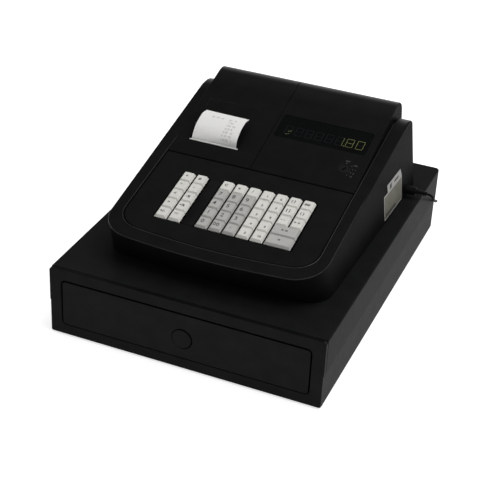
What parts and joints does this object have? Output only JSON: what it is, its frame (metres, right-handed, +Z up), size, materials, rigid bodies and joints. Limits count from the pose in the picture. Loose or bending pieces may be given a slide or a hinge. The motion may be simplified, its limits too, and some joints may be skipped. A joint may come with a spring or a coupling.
{
  "type": "electronic cash register with drawer cabinet",
  "caption": "Electronic cash register with sloping keyboard, receipt printer and display hood, standing on a low cabinet with a sliding cash drawer and a compartment till.",
  "frame": {"origin": "centre of the cabinet's footprint on the surface that its feet stand on", "axes": "+Z up, the drawer opens toward -Y, +X to the right of the person at the keys"},
  "size_m": [0.3484, 0.5172, 0.2055],
  "materials": {
    "cabinet_plastic": "fine black texture",
    "case_plastic": "fine black texture",
    "panel_plastic": "fine black texture",
    "till_plastic": "satin dark grey",
    "pan_plastic": "matte black",
    "window_plastic": "dark smoked window",
    "switch_metal": "dark satin",
    "key_ivory": "fine warm ivory",
    "key_grey": "fine mid grey",
    "paper": "white thermal paper",
    "cord_rubber": "matte black",
    "adaptor_plastic": "matte black"
  },
  "bodies": {
    "register": {"cabinet_base": "cabinet_plastic", "cabinet_cover": "cabinet_plastic", "base_pan": "pan_plastic", "upper_case": "case_plastic", "keyboard_panel": "panel_plastic", "display_cover": "case_plastic", "display_window": "window_plastic", "power_plug": "cord_rubber", "power_cord": "cord_rubber", "cord_coil": "cord_rubber", "power_adaptor": "adaptor_plastic"},
    "drawer": {"drawer": "cabinet_plastic", "till_insert": "till_plastic"},
    "printer_lid": {"printer_cover": "case_plastic", "receipt": "paper"},
    "mode_switch": {"mode_switch": "switch_metal"},
    "paper_roll": {"paper_roll": "paper"},
    "key_left_1": {"key_left_1": "key_ivory"},
    "key_left_2": {"key_left_2": "key_ivory"},
    "key_clear": {"key_clear": "key_ivory"},
    "key_multiply": {"key_multiply": "key_ivory"},
    "key_minus": {"key_minus": "key_ivory"},
    "key_dept_1": {"key_dept_1": "key_ivory"},
    "key_dept_6": {"key_dept_6": "key_ivory"},
    "key_function_1": {"key_function_1": "key_ivory"},
    "key_function_2": {"key_function_2": "key_ivory"},
    "key_left_3": {"key_left_3": "key_ivory"},
    "key_left_4": {"key_left_4": "key_ivory"},
    "key_7": {"key_7": "key_grey"},
    "key_8": {"key_8": "key_grey"},
    "key_9": {"key_9": "key_grey"},
    "key_dept_2": {"key_dept_2": "key_ivory"},
    "key_dept_7": {"key_dept_7": "key_ivory"},
    "key_function_3": {"key_function_3": "key_ivory"},
    "key_function_4": {"key_function_4": "key_ivory"},
    "key_left_5": {"key_left_5": "key_ivory"},
    "key_left_6": {"key_left_6": "key_ivory"},
    "key_4": {"key_4": "key_grey"},
    "key_5": {"key_5": "key_grey"},
    "key_6": {"key_6": "key_grey"},
    "key_dept_3": {"key_dept_3": "key_ivory"},
    "key_dept_8": {"key_dept_8": "key_ivory"},
    "key_function_5": {"key_function_5": "key_ivory"},
    "key_function_6": {"key_function_6": "key_ivory"},
    "key_left_7": {"key_left_7": "key_ivory"},
    "key_left_8": {"key_left_8": "key_ivory"},
    "key_1": {"key_1": "key_grey"},
    "key_2": {"key_2": "key_grey"},
    "key_3": {"key_3": "key_grey"},
    "key_dept_4": {"key_dept_4": "key_ivory"},
    "key_dept_9": {"key_dept_9": "key_ivory"},
    "key_subtotal": {"key_subtotal": "key_grey"},
    "key_left_9": {"key_left_9": "key_ivory"},
    "key_left_10": {"key_left_10": "key_ivory"},
    "key_0": {"key_0": "key_grey"},
    "key_00": {"key_00": "key_grey"},
    "key_point": {"key_point": "key_grey"},
    "key_dept_5": {"key_dept_5": "key_ivory"},
    "key_dept_10": {"key_dept_10": "key_ivory"},
    "key_cash": {"key_cash": "key_grey"}
  },
  "joints": [
    {"name": "drawer_slide", "type": "slide", "parent": "register", "child": "drawer", "axis": [0, -1, 0], "range_m": [0, 0.3]},
    {"name": "printer_cover_hinge", "type": "hinge", "parent": "register", "child": "printer_lid", "pos_m": [-0.059, 0.158, 0.1665], "axis": [-1, 0, 0], "range_deg": [0, 85]},
    {"name": "mode_turn", "type": "hinge", "parent": "register", "child": "mode_switch", "pos_m": [0.0985, 0.00866, 0.16899], "axis": [0, -0.2922, 0.9564], "range_deg": [-60, 90]},
    {"name": "paper_roll_spin", "type": "hinge", "parent": "register", "child": "paper_roll", "pos_m": [-0.0631, 0.082, 0.136], "axis": [1, 0, 0], "continuous": true},
    {"name": "key_left_1_travel", "type": "slide", "parent": "register", "child": "key_left_1", "axis": [0, -0.2031, 0.9792], "range_m": [-0.003, 0], "stiffness_N_per_m": 180, "springref_m": 0.001},
    {"name": "key_left_2_travel", "type": "slide", "parent": "register", "child": "key_left_2", "axis": [0, -0.2031, 0.9792], "range_m": [-0.003, 0], "stiffness_N_per_m": 180, "springref_m": 0.001},
    {"name": "key_clear_travel", "type": "slide", "parent": "register", "child": "key_clear", "axis": [0, -0.2031, 0.9792], "range_m": [-0.003, 0], "stiffness_N_per_m": 180, "springref_m": 0.001},
    {"name": "key_multiply_travel", "type": "slide", "parent": "register", "child": "key_multiply", "axis": [0, -0.2031, 0.9792], "range_m": [-0.003, 0], "stiffness_N_per_m": 180, "springref_m": 0.001},
    {"name": "key_minus_travel", "type": "slide", "parent": "register", "child": "key_minus", "axis": [0, -0.2031, 0.9792], "range_m": [-0.003, 0], "stiffness_N_per_m": 180, "springref_m": 0.001},
    {"name": "key_dept_1_travel", "type": "slide", "parent": "register", "child": "key_dept_1", "axis": [0, -0.2031, 0.9792], "range_m": [-0.003, 0], "stiffness_N_per_m": 180, "springref_m": 0.001},
    {"name": "key_dept_6_travel", "type": "slide", "parent": "register", "child": "key_dept_6", "axis": [0, -0.2031, 0.9792], "range_m": [-0.003, 0], "stiffness_N_per_m": 180, "springref_m": 0.001},
    {"name": "key_function_1_travel", "type": "slide", "parent": "register", "child": "key_function_1", "axis": [0, -0.2031, 0.9792], "range_m": [-0.003, 0], "stiffness_N_per_m": 180, "springref_m": 0.001},
    {"name": "key_function_2_travel", "type": "slide", "parent": "register", "child": "key_function_2", "axis": [0, -0.2031, 0.9792], "range_m": [-0.003, 0], "stiffness_N_per_m": 180, "springref_m": 0.001},
    {"name": "key_left_3_travel", "type": "slide", "parent": "register", "child": "key_left_3", "axis": [0, -0.2031, 0.9792], "range_m": [-0.003, 0], "stiffness_N_per_m": 180, "springref_m": 0.001},
    {"name": "key_left_4_travel", "type": "slide", "parent": "register", "child": "key_left_4", "axis": [0, -0.2031, 0.9792], "range_m": [-0.003, 0], "stiffness_N_per_m": 180, "springref_m": 0.001},
    {"name": "key_7_travel", "type": "slide", "parent": "register", "child": "key_7", "axis": [0, -0.2031, 0.9792], "range_m": [-0.003, 0], "stiffness_N_per_m": 180, "springref_m": 0.001},
    {"name": "key_8_travel", "type": "slide", "parent": "register", "child": "key_8", "axis": [0, -0.2031, 0.9792], "range_m": [-0.003, 0], "stiffness_N_per_m": 180, "springref_m": 0.001},
    {"name": "key_9_travel", "type": "slide", "parent": "register", "child": "key_9", "axis": [0, -0.2031, 0.9792], "range_m": [-0.003, 0], "stiffness_N_per_m": 180, "springref_m": 0.001},
    {"name": "key_dept_2_travel", "type": "slide", "parent": "register", "child": "key_dept_2", "axis": [0, -0.2031, 0.9792], "range_m": [-0.003, 0], "stiffness_N_per_m": 180, "springref_m": 0.001},
    {"name": "key_dept_7_travel", "type": "slide", "parent": "register", "child": "key_dept_7", "axis": [0, -0.2031, 0.9792], "range_m": [-0.003, 0], "stiffness_N_per_m": 180, "springref_m": 0.001},
    {"name": "key_function_3_travel", "type": "slide", "parent": "register", "child": "key_function_3", "axis": [0, -0.2031, 0.9792], "range_m": [-0.003, 0], "stiffness_N_per_m": 180, "springref_m": 0.001},
    {"name": "key_function_4_travel", "type": "slide", "parent": "register", "child": "key_function_4", "axis": [0, -0.2031, 0.9792], "range_m": [-0.003, 0], "stiffness_N_per_m": 180, "springref_m": 0.001},
    {"name": "key_left_5_travel", "type": "slide", "parent": "register", "child": "key_left_5", "axis": [0, -0.2031, 0.9792], "range_m": [-0.003, 0], "stiffness_N_per_m": 180, "springref_m": 0.001},
    {"name": "key_left_6_travel", "type": "slide", "parent": "register", "child": "key_left_6", "axis": [0, -0.2031, 0.9792], "range_m": [-0.003, 0], "stiffness_N_per_m": 180, "springref_m": 0.001},
    {"name": "key_4_travel", "type": "slide", "parent": "register", "child": "key_4", "axis": [0, -0.2031, 0.9792], "range_m": [-0.003, 0], "stiffness_N_per_m": 180, "springref_m": 0.001},
    {"name": "key_5_travel", "type": "slide", "parent": "register", "child": "key_5", "axis": [0, -0.2031, 0.9792], "range_m": [-0.003, 0], "stiffness_N_per_m": 180, "springref_m": 0.001},
    {"name": "key_6_travel", "type": "slide", "parent": "register", "child": "key_6", "axis": [0, -0.2031, 0.9792], "range_m": [-0.003, 0], "stiffness_N_per_m": 180, "springref_m": 0.001},
    {"name": "key_dept_3_travel", "type": "slide", "parent": "register", "child": "key_dept_3", "axis": [0, -0.2031, 0.9792], "range_m": [-0.003, 0], "stiffness_N_per_m": 180, "springref_m": 0.001},
    {"name": "key_dept_8_travel", "type": "slide", "parent": "register", "child": "key_dept_8", "axis": [0, -0.2031, 0.9792], "range_m": [-0.003, 0], "stiffness_N_per_m": 180, "springref_m": 0.001},
    {"name": "key_function_5_travel", "type": "slide", "parent": "register", "child": "key_function_5", "axis": [0, -0.2031, 0.9792], "range_m": [-0.003, 0], "stiffness_N_per_m": 180, "springref_m": 0.001},
    {"name": "key_function_6_travel", "type": "slide", "parent": "register", "child": "key_function_6", "axis": [0, -0.2031, 0.9792], "range_m": [-0.003, 0], "stiffness_N_per_m": 180, "springref_m": 0.001},
    {"name": "key_left_7_travel", "type": "slide", "parent": "register", "child": "key_left_7", "axis": [0, -0.2031, 0.9792], "range_m": [-0.003, 0], "stiffness_N_per_m": 180, "springref_m": 0.001},
    {"name": "key_left_8_travel", "type": "slide", "parent": "register", "child": "key_left_8", "axis": [0, -0.2031, 0.9792], "range_m": [-0.003, 0], "stiffness_N_per_m": 180, "springref_m": 0.001},
    {"name": "key_1_travel", "type": "slide", "parent": "register", "child": "key_1", "axis": [0, -0.2031, 0.9792], "range_m": [-0.003, 0], "stiffness_N_per_m": 180, "springref_m": 0.001},
    {"name": "key_2_travel", "type": "slide", "parent": "register", "child": "key_2", "axis": [0, -0.2031, 0.9792], "range_m": [-0.003, 0], "stiffness_N_per_m": 180, "springref_m": 0.001},
    {"name": "key_3_travel", "type": "slide", "parent": "register", "child": "key_3", "axis": [0, -0.2031, 0.9792], "range_m": [-0.003, 0], "stiffness_N_per_m": 180, "springref_m": 0.001},
    {"name": "key_dept_4_travel", "type": "slide", "parent": "register", "child": "key_dept_4", "axis": [0, -0.2031, 0.9792], "range_m": [-0.003, 0], "stiffness_N_per_m": 180, "springref_m": 0.001},
    {"name": "key_dept_9_travel", "type": "slide", "parent": "register", "child": "key_dept_9", "axis": [0, -0.2031, 0.9792], "range_m": [-0.003, 0], "stiffness_N_per_m": 180, "springref_m": 0.001},
    {"name": "key_subtotal_travel", "type": "slide", "parent": "register", "child": "key_subtotal", "axis": [0, -0.2031, 0.9792], "range_m": [-0.003, 0], "stiffness_N_per_m": 180, "springref_m": 0.001},
    {"name": "key_left_9_travel", "type": "slide", "parent": "register", "child": "key_left_9", "axis": [0, -0.2031, 0.9792], "range_m": [-0.003, 0], "stiffness_N_per_m": 180, "springref_m": 0.001},
    {"name": "key_left_10_travel", "type": "slide", "parent": "register", "child": "key_left_10", "axis": [0, -0.2031, 0.9792], "range_m": [-0.003, 0], "stiffness_N_per_m": 180, "springref_m": 0.001},
    {"name": "key_0_travel", "type": "slide", "parent": "register", "child": "key_0", "axis": [0, -0.2031, 0.9792], "range_m": [-0.003, 0], "stiffness_N_per_m": 180, "springref_m": 0.001},
    {"name": "key_00_travel", "type": "slide", "parent": "register", "child": "key_00", "axis": [0, -0.2031, 0.9792], "range_m": [-0.003, 0], "stiffness_N_per_m": 180, "springref_m": 0.001},
    {"name": "key_point_travel", "type": "slide", "parent": "register", "child": "key_point", "axis": [0, -0.2031, 0.9792], "range_m": [-0.003, 0], "stiffness_N_per_m": 180, "springref_m": 0.001},
    {"name": "key_dept_5_travel", "type": "slide", "parent": "register", "child": "key_dept_5", "axis": [0, -0.2031, 0.9792], "range_m": [-0.003, 0], "stiffness_N_per_m": 180, "springref_m": 0.001},
    {"name": "key_dept_10_travel", "type": "slide", "parent": "register", "child": "key_dept_10", "axis": [0, -0.2031, 0.9792], "range_m": [-0.003, 0], "stiffness_N_per_m": 180, "springref_m": 0.001},
    {"name": "key_cash_travel", "type": "slide", "parent": "register", "child": "key_cash", "axis": [0, -0.2031, 0.9792], "range_m": [-0.003, 0], "stiffness_N_per_m": 180, "springref_m": 0.001}
  ]
}
